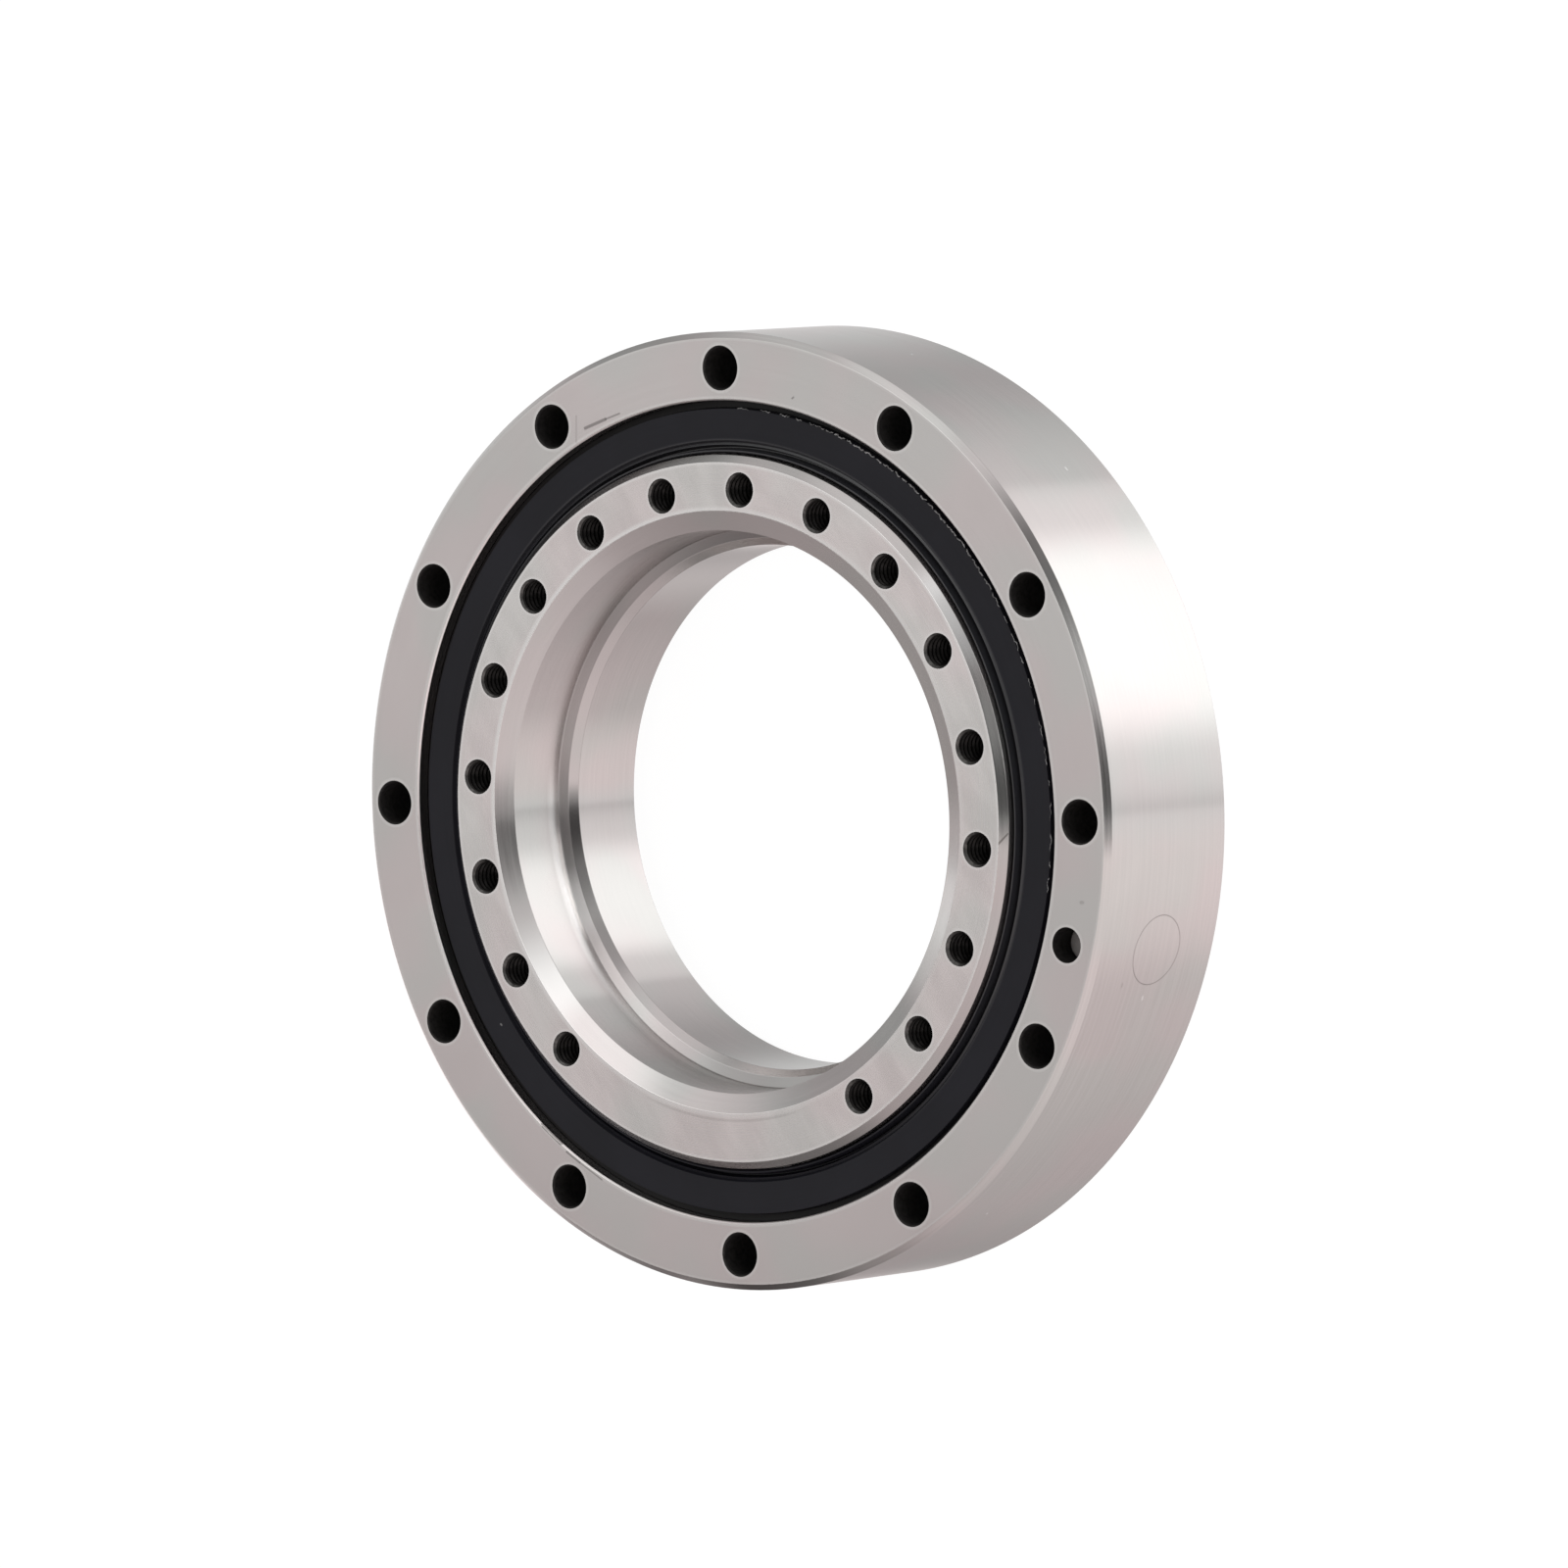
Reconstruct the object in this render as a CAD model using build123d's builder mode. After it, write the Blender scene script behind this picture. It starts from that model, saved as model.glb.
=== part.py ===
from build123d import *

import os
from math import cos, pi, radians, sin, sqrt

# A crossed roller bearing that lies on its back face, in millimetres.
# The origin is on the axis at the outer ring's back face, and +Z runs up the axis to the front seal.

# Rings across the section, from the outside inwards
outer_diameter = 80.0
bolt_edge_distance = 3.0  # outside to the circle of through holes, which is 74 across
bolts_to_seat = 2.7  # on to the wall of the seals' seats
seat_to_rollers = 3.1  # on to the circle of the rollers' centres, 62.4 across
rollers_to_wall = 1.4  # on to the wall that the seals' lips run on
wall_to_taps = 2.8  # on to the circle of tapped holes, 54 across
taps_to_bore = 3.5  # on to the wall of the bore, 47 across
bore_step = 1.5  # the bore's lower half is this much smaller in radius

# Rings along the axis
ring_width = 16.0
inner_ring_lead = 0.8  # the inner ring stands this far in front of the outer ring
bore_shoulder_depth = 6.7  # front of the inner ring down to the step in its bore

# Edges of the rings
outer_edge_chamfer = 0.5
outer_bore_edge = 0.3
inner_rim_chamfer = 0.6
bore_lead_width = 1.65  # shallow cone that leads into the bore
bore_lead_depth = 0.65
shoulder_fillet = 0.3
shoulder_chamfer = 0.6
bore_back_chamfer = 1.4

# Rollers and their channel
roller_diameter = 4.0
roller_end_gap = 0.1  # a roller is this much shorter than it is thick
roller_chamfer = 0.25
roller_spacing = 0.8  # least gap between two neighbours, which gives 20 pairs
roller_clearance = 0.06  # roller to raceway
ring_gap = 1.0  # between the lands on each side of the raceways
relief_width = 0.8  # grinding groove at the bottom of each raceway
relief_depth = 0.15

# Separators between the rollers
spacer_undersize = 0.2  # a spacer is this much thinner than a roller
spacer_horn = 1.1  # its saddles reach this far past its web
spacer_clearance = 0.06  # spacer to roller

# Through holes in the outer ring
bolt_count = 12
bolt_hole_diameter = 3.5
bolt_hole_edge = 0.13
outer_ring_turn = -3.79  # where the first of them stands, from +X

# Tapped holes in the inner ring, on 20 equal places of which three together have none
tap_places = 20
tap_count = 17
tap_drill_diameter = 2.5
tap_mouth_chamfer = 0.18
tap_depth = 6.0
tap_point_depth = 0.7

# Plug that closes the hole where the rollers go in, and the taper pin through it
plug_diameter = 6.0
plug_clearance = 0.02
plug_angle = -109.74
pin_edge_distance = 3.2
pin_mouth_diameter = 2.96
pin_taper = 0.02  # 1 in 50 on the diameter
pin_below_face = 2.2
pin_length = 10.0
pin_hole_spare = 0.6  # empty end of the hole under the pin
pin_clearance = 0.02
pin_end_chamfer = 0.2

# Seals
seat_depth = 2.5  # seats in the outer ring, from its front face and from the inner ring's back face
seal_thickness = 2.0
seal_flange_thickness = 1.3
seal_recess = 0.7  # moulded step along the seal's outer edge
seal_recess_draft = 0.1
seal_edge_clearance = 0.03
seal_foot_inset = 0.2  # the seal stands on the seat this far outside the land
wall_drop = 0.3  # the lips' wall runs this much past the seat

# Lips of the seals, outwards from the wall that they run on and down from the seal's flat band
band_to_wall = 1.17
valley_to_wall = 0.98
valley_depth = 0.28
first_lip_to_wall = 0.8
first_lip_depth = 0.17
groove_to_wall = 0.56
groove_depth = 0.8
second_lip_to_wall = 0.3
second_lip_rise = 0.3
lip_tip_width = 0.14
lip_clearance = 0.08
nose_depth = 0.05
nose_height = 0.2
lip_back_to_wall = 0.35
lip_back_depth = 0.9
web_height = 0.5  # underside of the seal over the rings' gap, above the seat

os.makedirs("parts", exist_ok=True)

# Places that follow from the sizes above
outer_radius = outer_diameter / 2
bolt_circle = outer_radius - bolt_edge_distance
seat_radius = bolt_circle - bolts_to_seat
roller_circle = seat_radius - seat_to_rollers
lip_wall = roller_circle - rollers_to_wall
tap_circle = lip_wall - wall_to_taps
bore_radius = tap_circle - taps_to_bore
lower_bore_radius = bore_radius - bore_step
middle = ring_width / 2
inner_front = ring_width + inner_ring_lead
inner_back = inner_ring_lead
bore_shoulder = inner_front - bore_shoulder_depth
front_seat = ring_width - seat_depth
back_seat = inner_back + seat_depth
outer_land = roller_circle + ring_gap / 2
inner_land = roller_circle - ring_gap / 2

# The channel is a square that stands on its corner round each roller
roller_radius = roller_diameter / 2
roller_length = roller_diameter - roller_end_gap
channel_reach = (roller_radius + roller_clearance) * sqrt(2)
groove_mouth = channel_reach - ring_gap / 2
outer_apex = roller_circle + channel_reach
inner_apex = roller_circle - channel_reach
relief_half = relief_width / 2
tip_half = lip_tip_width / 2

# Rollers stand in pairs, as many as fit round their circle, and a spacer fills each gap
roller_count = 2 * int(pi * roller_circle / (roller_diameter + roller_spacing))
roller_step = 360 / roller_count
roller_chord = 2 * roller_circle * sin(radians(roller_step / 2))
spacer_radius = roller_radius - spacer_undersize / 2
spacer_web = roller_chord - roller_diameter - 2 * spacer_clearance
spacer_length = spacer_web + 2 * spacer_horn

plug_plane = Plane(
    origin=(0, 0, middle),
    x_dir=(-sin(radians(plug_angle)), cos(radians(plug_angle)), 0),
    z_dir=(cos(radians(plug_angle)), sin(radians(plug_angle)), 0),
)
pin_circle = outer_radius - pin_edge_distance
pin_hole_depth = pin_below_face + pin_length + pin_hole_spare
pin_slope = pin_taper / 2
pin_hole_end = pin_mouth_diameter / 2 - pin_hole_depth * pin_slope
pin_top = pin_mouth_diameter / 2 - pin_below_face * pin_slope - pin_clearance


# Half section of the outer ring, as radius and height
outer_outline = [
    (seat_radius + outer_bore_edge, 0),
    (outer_radius - outer_edge_chamfer, 0),
    (outer_radius, outer_edge_chamfer),
    (outer_radius, ring_width - outer_edge_chamfer),
    (outer_radius - outer_edge_chamfer, ring_width),
    (seat_radius + outer_bore_edge, ring_width),
    (seat_radius, ring_width - outer_bore_edge),
    (seat_radius, front_seat),
    (outer_land, front_seat),
    (outer_land, middle + groove_mouth),
    (outer_apex - relief_half, middle + relief_half),
    (outer_apex + relief_depth, middle + relief_half),
    (outer_apex + relief_depth, middle - relief_half),
    (outer_apex - relief_half, middle - relief_half),
    (outer_land, middle - groove_mouth),
    (outer_land, back_seat),
    (seat_radius, back_seat),
    (seat_radius, outer_bore_edge),
]


def save(solid, name):
    solid.label = name
    export_step(solid, f"parts/{name}.step")


def roller_plane(number):
    # Plane across a roller at its middle: its normal leans out for even numbers and in for odd ones
    angle = radians(number * roller_step)
    lean = 1 if number % 2 == 0 else -1
    return Plane(
        origin=(roller_circle * cos(angle), roller_circle * sin(angle), middle),
        x_dir=(-sin(angle), cos(angle), 0),
        z_dir=(lean * cos(angle), lean * sin(angle), 1),
    )


def spacer_plane(number):
    # Plane across the channel, half way between a roller and the next
    angle = radians((number + 0.5) * roller_step)
    return Plane(
        origin=(roller_circle * cos(angle), roller_circle * sin(angle), middle),
        x_dir=(cos(angle), sin(angle), 0),
        z_dir=(-sin(angle), cos(angle), 0),
    )


# Outer ring: turned section, through holes, plug hole and pin hole
with BuildPart() as outer_ring:
    with BuildSketch(Plane.XZ):
        with BuildLine():
            Polyline(outer_outline, close=True)
        make_face()
    revolve(axis=Axis.Z)
    with BuildSketch(Plane.XY):
        with PolarLocations(bolt_circle, bolt_count, start_angle=outer_ring_turn):
            Circle(bolt_hole_diameter / 2)
    extrude(amount=ring_width, mode=Mode.SUBTRACT)
    hole_edges = outer_ring.edges().filter_by(GeomType.CIRCLE)
    chamfer(hole_edges.filter_by(lambda e: abs(e.radius - bolt_hole_diameter / 2) < 1e-4), bolt_hole_edge)
    with BuildSketch(plug_plane):
        Circle(plug_diameter / 2)
    extrude(amount=outer_diameter, mode=Mode.SUBTRACT)
    with Locations(Plane.XY.offset(ring_width - pin_hole_depth / 2)):
        with PolarLocations(pin_circle, 1, start_angle=plug_angle):
            Cone(pin_hole_end, pin_mouth_diameter / 2, pin_hole_depth, mode=Mode.SUBTRACT)
save(outer_ring.part, "outer_ring")


# Loading plug: cut from the same section, so that it carries on the raceway and the outside
with BuildPart() as loading_plug:
    with BuildSketch(Plane.XZ):
        with BuildLine():
            Polyline(outer_outline, close=True)
        make_face()
    revolve(axis=Axis.Z)
    with BuildSketch(plug_plane):
        Circle(plug_diameter / 2 - plug_clearance)
    extrude(amount=outer_diameter, mode=Mode.INTERSECT)
    with Locations(Plane.XY.offset(ring_width - pin_hole_depth / 2)):
        with PolarLocations(pin_circle, 1, start_angle=plug_angle):
            Cone(pin_hole_end, pin_mouth_diameter / 2, pin_hole_depth, mode=Mode.SUBTRACT)
save(loading_plug.part, "loading_plug")


# Taper pin: driven in from the front, below the face
with BuildPart() as taper_pin:
    with Locations(Plane.XY.offset(ring_width - pin_below_face - pin_length / 2)):
        with PolarLocations(pin_circle, 1, start_angle=plug_angle):
            Cone(pin_top - pin_length * pin_slope, pin_top, pin_length)
    chamfer(taper_pin.edges().filter_by(GeomType.CIRCLE), pin_end_chamfer)
save(taper_pin.part, "taper_pin")


# Inner ring: turned section with the stepped bore, then the tapped holes with their drill points
with BuildPart() as inner_ring:
    with BuildSketch(Plane.XZ) as inner_profile:
        with BuildLine():
            Polyline(
                (bore_radius + bore_lead_width, inner_front),
                (lip_wall - inner_rim_chamfer, inner_front),
                (lip_wall, inner_front - inner_rim_chamfer),
                (lip_wall, front_seat - wall_drop),
                (inner_land, front_seat - wall_drop),
                (inner_land, middle + groove_mouth),
                (inner_apex + relief_half, middle + relief_half),
                (inner_apex - relief_depth, middle + relief_half),
                (inner_apex - relief_depth, middle - relief_half),
                (inner_apex + relief_half, middle - relief_half),
                (inner_land, middle - groove_mouth),
                (inner_land, back_seat + wall_drop),
                (lip_wall, back_seat + wall_drop),
                (lip_wall, inner_back + inner_rim_chamfer),
                (lip_wall - inner_rim_chamfer, inner_back),
                (lower_bore_radius + bore_back_chamfer, inner_back),
                (lower_bore_radius, inner_back + bore_back_chamfer),
                (lower_bore_radius, bore_shoulder - shoulder_chamfer),
                (lower_bore_radius + shoulder_chamfer, bore_shoulder),
                (bore_radius, bore_shoulder),
                (bore_radius, inner_front - bore_lead_depth),
                close=True,
            )
        make_face()
        inside_corner = inner_profile.vertices().sort_by_distance((bore_radius, bore_shoulder))[0]
        fillet(inside_corner, shoulder_fillet)
    revolve(axis=Axis.Z)
    tap_step = 360 / tap_places
    first_tap = -tap_step * tap_count / 2
    tap_sweep = tap_step * (tap_count - 1)
    with BuildSketch(Plane.XY.offset(inner_front)):
        with PolarLocations(tap_circle, tap_count, first_tap, tap_sweep, endpoint=True):
            Circle(tap_drill_diameter / 2)
    extrude(amount=-tap_depth, mode=Mode.SUBTRACT)
    mouth_edges = inner_ring.edges().filter_by(GeomType.CIRCLE).group_by(Axis.Z)[-1]
    chamfer(mouth_edges.filter_by(lambda e: e.radius < tap_drill_diameter), tap_mouth_chamfer)
    with Locations(Plane.XY.offset(inner_front - tap_depth - tap_point_depth / 2)):
        with PolarLocations(tap_circle, tap_count, first_tap, tap_sweep, endpoint=True):
            Cone(0, tap_drill_diameter / 2, tap_point_depth, mode=Mode.SUBTRACT)
save(inner_ring.part, "inner_ring")


# Seals: a moulded ring that sits in the outer ring, with two lips towards the wall of the inner ring
for seal_name, seat, facing in (("front_seal", front_seat, 1), ("rear_seal", back_seat, -1)):
    outline = [
        (outer_land + seal_foot_inset, 0),
        (seat_radius - seal_edge_clearance, 0),
        (seat_radius - seal_edge_clearance, seal_flange_thickness),
        (seat_radius - seal_recess + seal_recess_draft, seal_flange_thickness),
        (seat_radius - seal_recess, seal_thickness),
        (lip_wall + band_to_wall, seal_thickness),
        (lip_wall + valley_to_wall, seal_thickness - valley_depth),
        (lip_wall + first_lip_to_wall, seal_thickness - first_lip_depth),
        (lip_wall + groove_to_wall + tip_half, seal_thickness - groove_depth),
        (lip_wall + groove_to_wall - tip_half, seal_thickness - groove_depth),
        (lip_wall + second_lip_to_wall + tip_half, seal_thickness + second_lip_rise),
        (lip_wall + second_lip_to_wall - tip_half, seal_thickness + second_lip_rise),
        (lip_wall + lip_clearance, seal_thickness - nose_depth),
        (lip_wall + lip_clearance, seal_thickness - nose_depth - nose_height),
        (lip_wall + lip_back_to_wall, seal_thickness - lip_back_depth),
        (lip_wall + first_lip_to_wall, web_height),
        (roller_circle, web_height),
    ]
    with BuildPart() as seal:
        with BuildSketch(Plane.XZ):
            with BuildLine():
                Polyline([(r, seat + facing * height) for r, height in outline], close=True)
            make_face()
        revolve(axis=Axis.Z)
    save(seal.part, seal_name)


# Rollers: each turned a right angle to the next
for number in range(roller_count):
    with BuildPart() as roller:
        with BuildSketch(roller_plane(number).offset(-roller_length / 2)):
            Circle(roller_radius)
        extrude(amount=roller_length)
        chamfer(roller.edges().filter_by(GeomType.CIRCLE), roller_chamfer)
    save(roller.part, f"roller_{number + 1:02d}")


# Spacers: a disc across the channel with a saddle for the roller on each side
with BuildPart() as spacers:
    with BuildSketch(*[spacer_plane(n).offset(-spacer_length / 2) for n in range(roller_count)]):
        Circle(spacer_radius)
    extrude(amount=spacer_length)
    with BuildSketch(*[roller_plane(n).offset(-roller_length) for n in range(roller_count)]):
        Circle(roller_radius + spacer_clearance)
    extrude(amount=2 * roller_length, mode=Mode.SUBTRACT)
save(spacers.part, "spacers")
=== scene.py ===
import math
import random

import bpy
from mathutils import Matrix, Vector


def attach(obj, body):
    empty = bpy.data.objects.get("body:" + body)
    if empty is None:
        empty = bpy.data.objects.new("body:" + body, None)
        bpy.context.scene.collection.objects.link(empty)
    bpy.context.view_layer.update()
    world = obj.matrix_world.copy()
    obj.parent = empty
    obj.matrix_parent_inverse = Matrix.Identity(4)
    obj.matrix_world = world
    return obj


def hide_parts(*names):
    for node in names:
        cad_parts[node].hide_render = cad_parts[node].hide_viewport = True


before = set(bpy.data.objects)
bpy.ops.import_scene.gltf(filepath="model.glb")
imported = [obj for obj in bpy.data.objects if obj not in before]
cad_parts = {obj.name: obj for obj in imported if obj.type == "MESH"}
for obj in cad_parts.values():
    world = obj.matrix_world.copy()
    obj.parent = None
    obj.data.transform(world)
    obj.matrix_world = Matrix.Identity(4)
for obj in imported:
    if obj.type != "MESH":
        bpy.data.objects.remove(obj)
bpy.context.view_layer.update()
random.seed(17)
mm = 0.001  # sizes in the dictionaries are millimetres, the scene is metres
print("frame loaded:", len(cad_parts), "nodes")

# what shapes and finishes share: heights and circles in millimetres, angles in degrees from +X
layout = {
    "outerFace": 16,
    "innerFace": 16.8,
    "middle": 8,
    "frontSeat": 13.5,  # the seals stand on these floors
    "backSeat": 3.3,
    "bolts": 12,
    "boltCircle": 37,
    "boltTurn": -3.79,
    "plugAngle": -109.74,
    "pinCircle": 36.8,
    "tapPlaces": 20,
    "taps": range(-8, 9),  # the places that have one, counted from tapTurn
    "tapCircle": 27,
    "tapTurn": -9,
}


# modelling helpers

def pick(piece):
    # every operator works on what is selected, so only this piece stays selected
    if bpy.context.object and bpy.context.object.mode != "OBJECT":
        bpy.ops.object.mode_set(mode="OBJECT")
    bpy.ops.object.select_all(action="DESELECT")
    piece.select_set(True)
    bpy.context.view_layer.objects.active = piece


def applyAll(piece):
    pick(piece)
    for modifier in list(piece.modifiers):
        bpy.ops.object.modifier_apply(modifier=modifier.name)


def drawLine(name, points):
    # one vertex, pulled along from point to point
    bpy.ops.object.select_all(action="DESELECT")
    bpy.ops.mesh.primitive_plane_add(size=mm)
    piece = bpy.context.active_object
    piece.name = piece.data.name = name
    bpy.ops.object.mode_set(mode="EDIT")
    bpy.ops.mesh.select_all(action="SELECT")
    bpy.ops.mesh.merge(type="CENTER")
    here = Vector(points[0])
    bpy.ops.transform.translate(value=here * mm)
    for point in points[1:]:
        step = Vector(point) - here
        bpy.ops.mesh.extrude_region_move(TRANSFORM_OT_translate={"value": step * mm})
        here = Vector(point)
    return piece


def turn(name, outline, steps, softEdge=0):
    # a section of radius and height, spun about the axis; one that starts on the axis is left open there
    closed = outline[0][0] > 0
    piece = drawLine(name, [(r, 0, z) for r, z in outline])
    bpy.ops.mesh.select_all(action="SELECT")
    if closed:
        bpy.ops.mesh.edge_face_add()
        bpy.ops.mesh.delete(type="ONLY_FACE")
        bpy.ops.mesh.select_all(action="SELECT")
    bpy.ops.mesh.spin(steps=steps, angle=2 * math.pi, center=(0, 0, 0), axis=(0, 0, 1))
    bpy.ops.mesh.select_all(action="SELECT")
    bpy.ops.mesh.remove_doubles(threshold=0.0001 * mm)
    bpy.ops.mesh.normals_make_consistent(inside=False)
    bpy.ops.object.mode_set(mode="OBJECT")
    if softEdge:
        edges = piece.modifiers.new("edges", "BEVEL")
        edges.width = softEdge * mm
        edges.segments = 2
        edges.limit_method = "ANGLE"
        edges.angle_limit = math.radians(14)
        applyAll(piece)
    return piece


def copyTo(piece, reach, angle):
    # a copy with its own mesh, which is moved out from the bearing's axis and turned about it
    pick(piece)
    bpy.ops.object.duplicate(linked=False)
    made = bpy.context.active_object
    made.data.transform(Matrix.Rotation(math.radians(angle), 4, "Z") @ Matrix.Translation((reach * mm, 0, 0)))
    return made


def joined(pieces, name):
    pick(pieces[0])
    for piece in pieces:
        piece.select_set(True)
    bpy.ops.object.join()
    made = bpy.context.active_object
    made.name = made.data.name = name
    return made


def cut(piece, tool, how="DIFFERENCE", keepTool=False):
    pick(piece)
    boolean = piece.modifiers.new("cut", "BOOLEAN")
    boolean.operation = how
    boolean.solver = "EXACT"
    boolean.object = tool
    bpy.ops.object.modifier_apply(modifier=boolean.name)
    if not keepTool:
        bpy.data.objects.remove(tool)


def smoothTurned(piece, angle=32):
    # Boolean cuts leave uneven facets: on turned faces the normal is worked out from the section instead
    pick(piece)
    bpy.ops.object.shade_smooth_by_angle(angle=math.radians(30))
    mesh = piece.data
    around = {}
    turned = {}
    for face in mesh.polygons:
        spot = face.center
        reach = math.hypot(spot.x, spot.y)
        out = Vector((spot.x / reach, spot.y / reach, 0))
        if abs(face.normal.cross(out).z) < 0.015:
            turned[face.index] = Vector((face.normal.dot(out), face.normal.z))
            for corner in face.vertices:
                around.setdefault(corner, []).append((face.area, turned[face.index]))
    limit = math.cos(math.radians(angle))
    normals = [corner.vector.copy() for corner in mesh.corner_normals]
    for face in mesh.polygons:
        if face.index not in turned:
            continue
        own = turned[face.index]
        for loop in face.loop_indices:
            corner = mesh.loops[loop].vertex_index
            slope = Vector((0, 0))
            for area, other in around[corner]:
                if own.dot(other) > limit:
                    slope += other * area
            slope.normalize()
            spot = mesh.vertices[corner].co
            reach = math.hypot(spot.x, spot.y)
            normals[loop] = Vector((slope.x * spot.x / reach, slope.x * spot.y / reach, slope.y))
    mesh.normals_split_custom_set(normals)


levelFace = 0.95  # the normal of a level face points up or down more than this
wallFace = 0.2  # and the normal of a wall less than this


def between(value, ends):
    return ends[0] < value < ends[1]


def paintFaces(piece, materials, choose):
    for material in materials:
        piece.data.materials.append(material)
    for face in piece.data.polygons:
        face.material_index = materials.index(choose(face))


def finishPiece(piece, body, nodes=()):
    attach(piece, body)
    if nodes:
        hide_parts(*nodes)
    print(piece.name, len(piece.data.polygons), "faces")


def onTurned(radius, angle, height):
    # a point on a turned surface
    return (radius * math.cos(math.radians(angle)), radius * math.sin(math.radians(angle)), height)


def awayFromHole(spot, circle, angle, count=1):
    # from a spot to the axis of the nearest of the holes that stand evenly on a circle
    step = 2 * math.pi / count
    aside = math.atan2(spot.y, spot.x) - math.radians(angle)
    aside = (aside + step / 2) % step - step / 2
    reach = math.hypot(spot.x, spot.y)
    return math.hypot(reach * math.cos(aside) - circle, reach * math.sin(aside))


# material helpers

def addNode(tree, kind, sockets=None, **settings):
    made = tree.nodes.new(kind)
    for key, value in settings.items():
        setattr(made, key, value)
    for key, value in (sockets or {}).items():
        if isinstance(value, bpy.types.NodeSocket):
            tree.links.new(value, made.inputs[key])
        else:
            made.inputs[key].default_value = value
    return made


def calc(tree, operation, *values):
    return addNode(tree, "ShaderNodeMath", dict(enumerate(values)), operation=operation).outputs[0]


def vectorCalc(tree, operation, *values):
    made = addNode(tree, "ShaderNodeVectorMath", dict(enumerate(values)), operation=operation)
    number = operation in ("DOT_PRODUCT", "LENGTH", "DISTANCE")
    return made.outputs["Value" if number else "Vector"]


def scaled(tree, vector, share):
    made = addNode(tree, "ShaderNodeVectorMath", {0: vector, "Scale": share}, operation="SCALE")
    return made.outputs["Vector"]


def hypotenuse(tree, first, second):
    squares = [calc(tree, "MULTIPLY", side, side) for side in (first, second)]
    return calc(tree, "SQRT", calc(tree, "ADD", *squares))


def fade(tree, value, start, end, low=0.0, high=1.0):
    # smooth step from low to high while value goes from start to end
    return addNode(
        tree,
        "ShaderNodeMapRange",
        {"Value": value, "From Min": start, "From Max": end, "To Min": low, "To Max": high},
        interpolation_type="SMOOTHSTEP",
    ).outputs["Result"]


def mixColour(tree, share, first, second, kind="MIX"):
    sockets = {0: share, 6: first, 7: second}
    return addNode(tree, "ShaderNodeMix", sockets, data_type="RGBA", blend_type=kind).outputs[2]


def noise(tree, vector, scale, detail=2.0, roughness=0.5):
    return addNode(
        tree,
        "ShaderNodeTexNoise",
        {"Vector": vector, "Scale": scale, "Detail": detail, "Roughness": roughness},
    ).outputs["Fac"]


def colour(shade):
    return (*shade, 1.0)


def grey(tree, value):
    return addNode(tree, "ShaderNodeCombineXYZ", {0: value, 1: value, 2: value}).outputs[0]


def objectPlace(tree):
    return addNode(tree, "ShaderNodeTexCoord").outputs["Object"]


def newMaterial(name):
    made = bpy.data.materials.new(name)
    made.use_nodes = True
    tree = made.node_tree
    tree.nodes.clear()
    shader = addNode(tree, "ShaderNodeBsdfPrincipled")
    out = addNode(tree, "ShaderNodeOutputMaterial")
    tree.links.new(shader.outputs[0], out.inputs["Surface"])
    return made, tree, shader


def addBump(tree, shader, height, depth):
    bump = addNode(tree, "ShaderNodeBump", {"Height": height, "Distance": depth * mm})
    tree.links.new(bump.outputs[0], shader.inputs["Normal"])


def turnedCoordinates(tree):
    # where a point is on a turned part: direction round the axis, radius and a run across the grooves
    place = objectPlace(tree)
    x, y, z = addNode(tree, "ShaderNodeSeparateXYZ", {0: place}).outputs
    radius = hypotenuse(tree, x, y)
    run = calc(tree, "SUBTRACT", z, radius)
    sides = {0: calc(tree, "DIVIDE", x, radius), 1: calc(tree, "DIVIDE", y, radius)}
    around = addNode(tree, "ShaderNodeCombineXYZ", sides).outputs[0]
    return {"place": place, "x": x, "y": y, "z": z, "radius": radius, "run": run, "around": around}


def grooves(tree, where, length, width, detail=3.0):
    # noise drawn out round the axis: length in millimetres at 40 mm radius, width in millimetres
    drawn = scaled(tree, where["around"], 40 / length)
    across = addNode(tree, "ShaderNodeCombineXYZ", {2: calc(tree, "MULTIPLY", where["run"], 1000 / width)})
    return noise(tree, vectorCalc(tree, "ADD", drawn, across.outputs[0]), 1.0, detail, 0.55)


def fromHoles(tree, where, circle, count, angle):
    # how far it is to the axis of the nearest of the holes that stand evenly on a circle
    aside = calc(tree, "SUBTRACT", calc(tree, "ARCTAN2", where["y"], where["x"]), math.radians(angle))
    half = math.pi / count
    aside = calc(tree, "WRAP", aside, half, -half)
    along = calc(tree, "MULTIPLY", where["radius"], calc(tree, "COSINE", aside))
    along = calc(tree, "SUBTRACT", along, circle * mm)
    across = calc(tree, "MULTIPLY", where["radius"], calc(tree, "SINE", aside))
    return hypotenuse(tree, along, across)


def strongest(tree, *values):
    most = values[0]
    for value in values[1:]:
        most = calc(tree, "MAXIMUM", most, value)
    return most


def towards(tree, where, angle):
    # 1 on the side of the bearing that looks along this angle, -1 on the other
    return vectorCalc(tree, "DOT_PRODUCT", where["around"], onTurned(1, angle, 0))


def scratch(tree, where, start, end, width):
    # 1 along a straight line between two points
    start, end = Vector(start) * mm, Vector(end) * mm
    line = end - start
    offset = vectorCalc(tree, "SUBTRACT", where["place"], start)
    share = calc(tree, "DIVIDE", vectorCalc(tree, "DOT_PRODUCT", offset, line), line.length_squared)
    share = calc(tree, "MINIMUM", calc(tree, "MAXIMUM", share, 0.0), 1.0)
    away = vectorCalc(tree, "DISTANCE", offset, scaled(tree, line, share))
    return fade(tree, away, width * mm, width * 0.35 * mm)


def addMarks(tree, where, shade, marks):
    for start, end, width, strength, tone in marks:
        mark = calc(tree, "MULTIPLY", scratch(tree, where, start, end, width), strength)
        shade = mixColour(tree, mark, shade, colour(tone))
    return shade


# steel

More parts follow.
